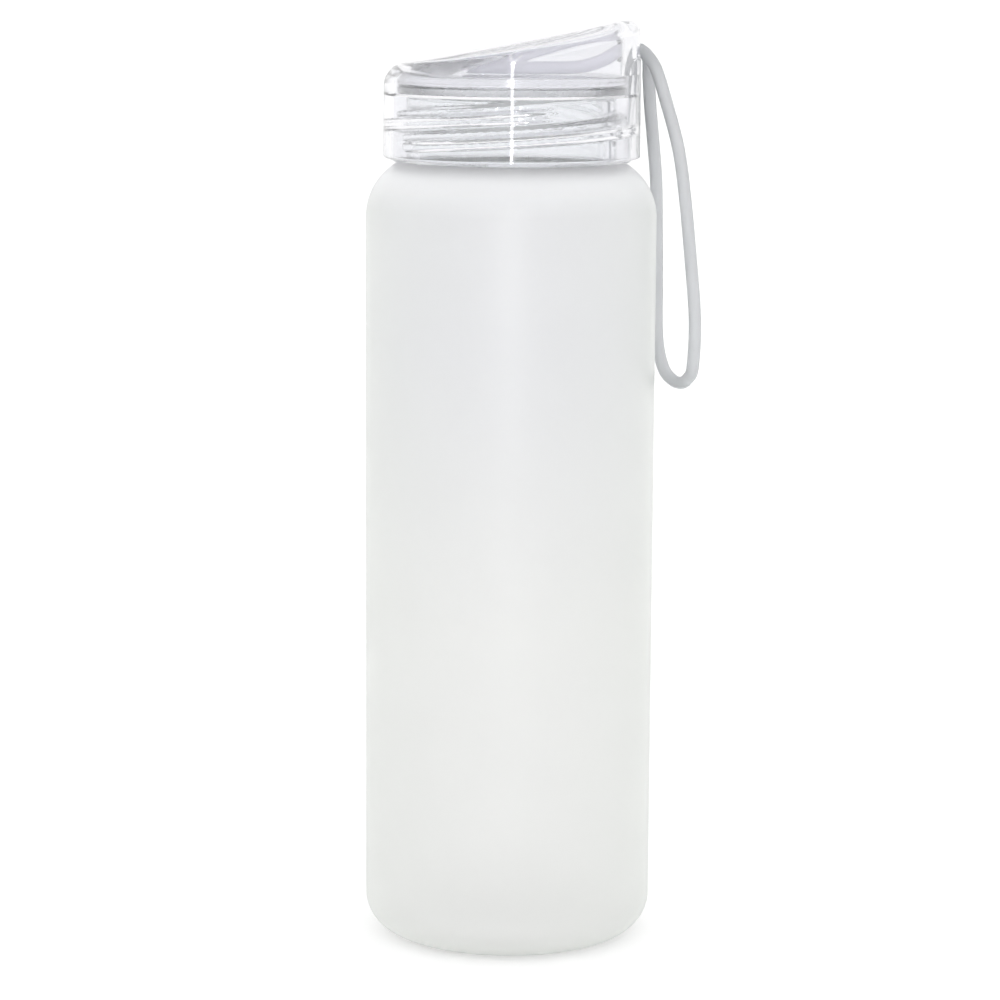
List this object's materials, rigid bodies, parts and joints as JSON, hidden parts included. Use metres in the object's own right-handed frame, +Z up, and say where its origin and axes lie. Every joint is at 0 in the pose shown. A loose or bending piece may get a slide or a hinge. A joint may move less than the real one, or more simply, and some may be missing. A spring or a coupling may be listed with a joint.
{
  "type": "glass water bottle",
  "caption": "Frosted glass water bottle with a straight round body, a clear screw lid with a sloping top, and a silicone carry loop through the lid's side.",
  "frame": {"origin": "on the bottle's axis, in the plane that it stands on", "axes": "+Z up along the bottle's axis, +X towards the lid's high side and the strap's slot"},
  "size_m": [0.0752, 0.065, 0.2074],
  "materials": {
    "frosted_glass": "frosted",
    "seal_silicone": "matte silicone",
    "clear_plastic": "clear, polished",
    "plate_plastic": "clear, slightly hazy",
    "strap_silicone": "matte silicone"
  },
  "bodies": {
    "bottle": {"glass_bottle": "frosted_glass"},
    "seal": {"seal_ring": "seal_silicone"},
    "lid": {"lid_shell": "clear_plastic", "inner_plate": "plate_plastic", "strap_inner_loop": "strap_silicone"},
    "strap": {"strap_outer_loop": "strap_silicone"}
  },
  "joints": [
    {"name": "lid_rise", "type": "slide", "parent": "bottle", "child": "seal", "axis": [0, 0, 1], "range_m": [0, 0.0205]},
    {"name": "lid_turn", "type": "hinge", "parent": "seal", "child": "lid", "pos_m": [0, 0, 0.185], "axis": [0, 0, 1], "range_deg": [0, 720]},
    {"name": "strap_swing", "type": "hinge", "parent": "lid", "child": "strap", "pos_m": [0.02984, 0, 0.20149], "axis": [0, -1, 0], "range_deg": [0, 150]}
  ],
  "couplings": [
    {"joint": "lid_rise", "follows": "lid_turn", "m_per_rad": 0.0016234}
  ]
}
